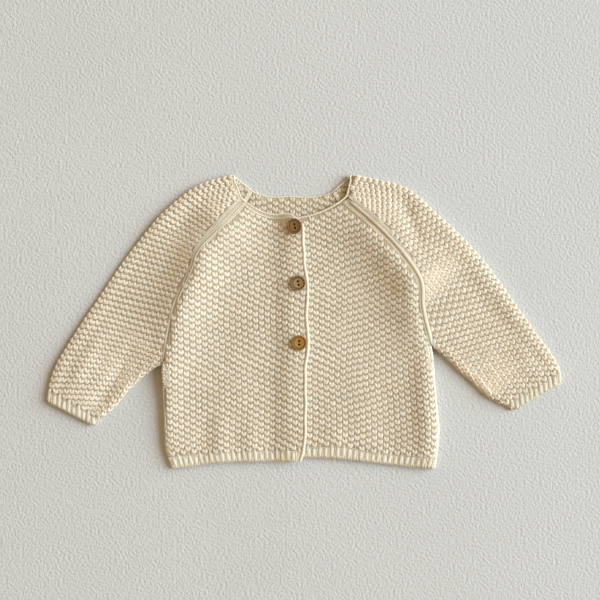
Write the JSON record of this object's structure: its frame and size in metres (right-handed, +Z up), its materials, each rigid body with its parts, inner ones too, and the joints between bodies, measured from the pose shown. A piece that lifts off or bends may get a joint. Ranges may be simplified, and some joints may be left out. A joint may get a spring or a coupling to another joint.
{
  "type": "crew-neck baby cardigan",
  "caption": "Baby's button-front crew-neck cardigan in thick cream knit with raglan sleeves, ribbed hem and cuffs and wooden buttons, lying flat and closed with its sleeves spread.",
  "frame": {"origin": "middle of the garment's box, on the surface that it lies on", "axes": "+X to the wearer's left, along the spread sleeves; +Y from the hem to the neck; +Z up off the surface"},
  "size_m": [0.527, 0.301, 0.0198],
  "materials": {
    "knit": "thick matte wool knit",
    "rib_knit": "matte ribbed wool knit",
    "edging_knit": "matte rolled knit edge",
    "dark_wood": "satin",
    "speckled_wood": "satin, dark ring",
    "light_wood": "satin",
    "thread": "matte sewing thread"
  },
  "bodies": {
    "root": {"back": "knit", "front_right": "knit", "front_left": "knit", "sleeve_right": "knit", "sleeve_left": "knit", "hem_rib_back": "rib_knit", "hem_rib_front_right": "rib_knit", "hem_rib_front_left": "rib_knit", "cuff_right": "rib_knit", "cuff_left": "rib_knit", "neck_edging": "edging_knit", "front_edging_right": "edging_knit", "front_edging_left": "edging_knit", "button_1": "dark_wood", "button_2": "speckled_wood", "button_3": "light_wood", "button_thread_1": "thread", "button_thread_2": "thread", "button_thread_3": "thread"}
  },
  "joints": []
}
